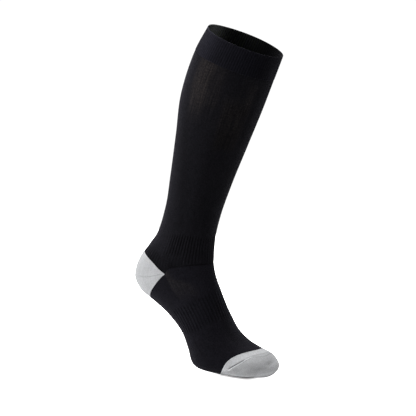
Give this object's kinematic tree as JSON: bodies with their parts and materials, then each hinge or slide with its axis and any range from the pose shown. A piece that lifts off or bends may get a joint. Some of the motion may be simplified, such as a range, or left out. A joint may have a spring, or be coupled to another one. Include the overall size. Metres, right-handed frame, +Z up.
{
  "type": "compression stocking",
  "caption": "Knee-high black knitted compression stocking with light grey heel and toe, filled out as worn and open at the cuff.",
  "frame": {"origin": "centre of the cuff's opening, in the plane of its rim, where the wearer's calf holds the stocking up", "axes": "+X towards the toes, +Y towards the stocking's left, +Z up as the stocking stands in use, toes level and heel raised"},
  "size_m": [0.2164, 0.1074, 0.4763],
  "materials": {
    "welt": "finely ribbed doubled black knit, matt with a soft bluish sheen",
    "knit": "fine black elastic knit, matt, ribbed above the ankle line and at the arch",
    "pocket": "plain light grey knit, matt, slightly mottled"
  },
  "bodies": {
    "root": {"welt": "welt", "leg": "knit", "heel": "pocket", "foot": "knit", "toe": "pocket"}
  },
  "joints": []
}
